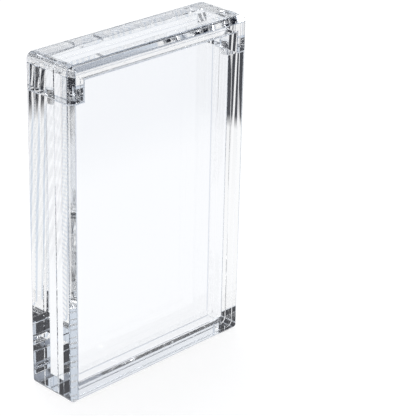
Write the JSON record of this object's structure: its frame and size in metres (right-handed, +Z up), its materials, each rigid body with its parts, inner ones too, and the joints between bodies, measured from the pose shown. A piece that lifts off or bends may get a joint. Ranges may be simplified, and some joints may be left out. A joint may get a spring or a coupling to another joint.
{
  "type": "trading card display case",
  "caption": "Thick clear case that stands on its base and shows one graded card in a slot, with a lift-off lid held by magnets.",
  "frame": {"origin": "centre of the underside of the base, on the surface that the case stands on", "axes": "+Z up, towards the lid; -Y out of the front face; +X to the right as seen from the front"},
  "size_m": [0.1, 0.0286, 0.15],
  "materials": {
    "clear_acrylic": "polished, see-through",
    "nickel": "bright nickel plate"
  },
  "bodies": {
    "case": {"front_plate": "clear_acrylic", "back_plate": "clear_acrylic", "spacer_left": "clear_acrylic", "spacer_right": "clear_acrylic", "spacer_bottom": "clear_acrylic", "body_magnet_left": "nickel", "body_magnet_right": "nickel"},
    "lid": {"lid_front_plate": "clear_acrylic", "lid_back_plate": "clear_acrylic", "lid_spacer_top": "clear_acrylic", "lid_spacer_left": "clear_acrylic", "lid_spacer_right": "clear_acrylic", "lid_magnet_left": "nickel", "lid_magnet_right": "nickel"}
  },
  "joints": [
    {"name": "lid_lift", "type": "slide", "parent": "case", "child": "lid", "axis": [0, 0, 1], "range_m": [0, 0.05]}
  ]
}
